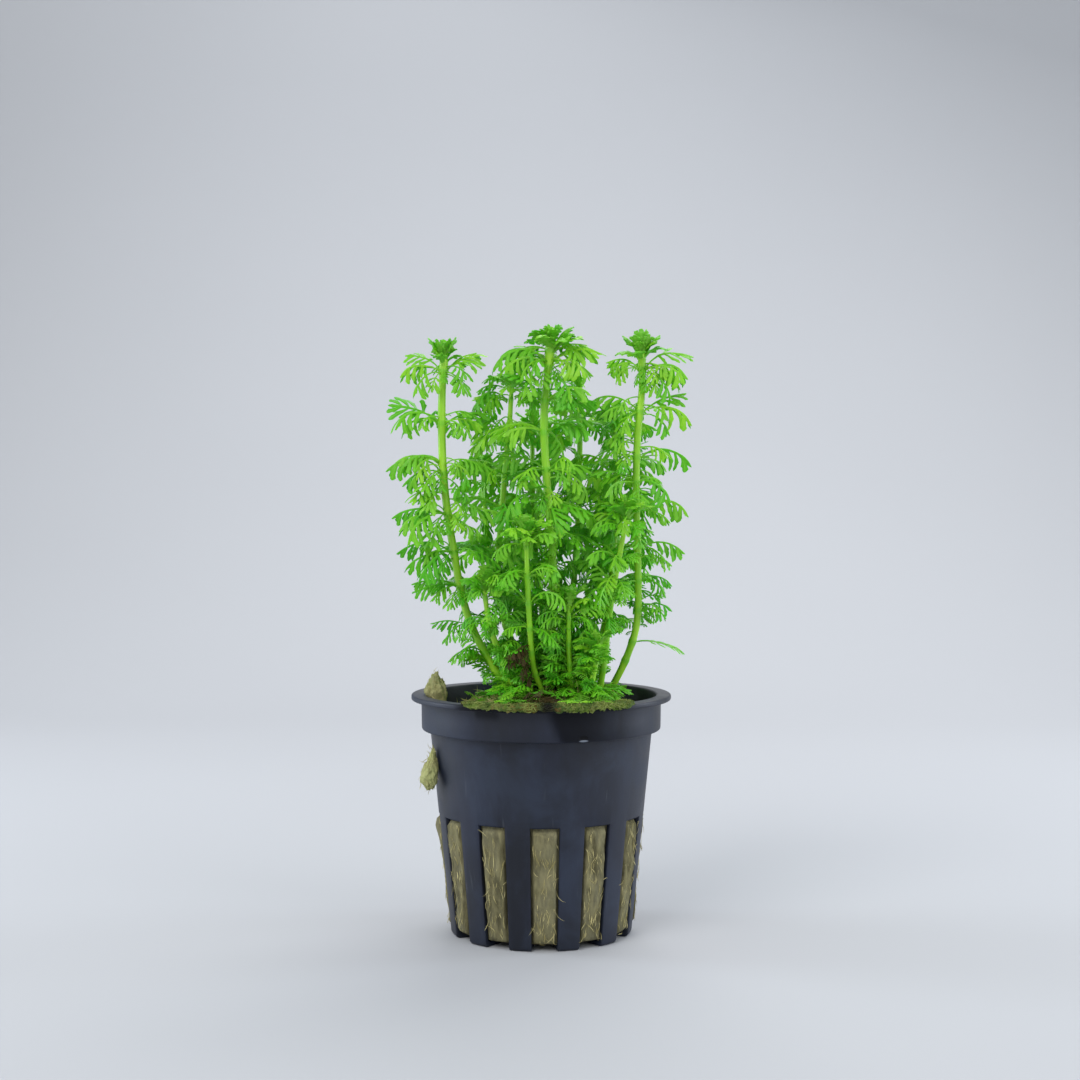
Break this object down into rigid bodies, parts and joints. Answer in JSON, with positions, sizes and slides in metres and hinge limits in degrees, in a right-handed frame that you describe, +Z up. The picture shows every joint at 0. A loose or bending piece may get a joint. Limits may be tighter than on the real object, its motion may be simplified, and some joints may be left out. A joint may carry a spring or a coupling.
{
  "type": "potted aquarium plant",
  "caption": "Slotted plastic net pot filled with rockwool, with a bunch of upright stems that carry whorls of finely cut green leaves.",
  "frame": {"origin": "centre of the underside of the pot's base, on the pot's axis", "axes": "+Z up along the pot's axis; -Y towards the viewer of the reference picture; +X to that viewer's right"},
  "size_m": [0.0654, 0.0558, 0.1285],
  "materials": {
    "pot_plastic": "satin",
    "rockwool": "matte",
    "stems": "satin",
    "leaves": "satin"
  },
  "bodies": {
    "root": {"net_pot": "pot_plastic", "rockwool": "rockwool", "rockwool_tuft": "rockwool", "rockwool_flake": "rockwool", "stem_left_tall": "stems", "stem_middle_tall": "stems", "stem_front": "stems", "stem_right_tall": "stems", "stem_front_right": "stems", "stem_right_inner": "stems", "stem_left_inner": "stems", "stem_right_front": "stems", "stem_back_right_tall": "stems", "stem_back_left": "stems", "stem_back_tall": "stems", "stem_left_low": "stems", "stem_right_low": "stems", "stem_back_right_low": "stems", "leaves_left_tall": "leaves", "leaves_middle_tall": "leaves", "leaves_front": "leaves", "leaves_right_tall": "leaves", "leaves_front_right": "leaves", "leaves_right_inner": "leaves", "leaves_left_inner": "leaves", "leaves_right_front": "leaves", "leaves_back_right_tall": "leaves", "leaves_back_left": "leaves", "leaves_back_tall": "leaves", "leaves_left_low": "leaves", "leaves_right_low": "leaves", "leaves_back_right_low": "leaves"}
  },
  "joints": []
}
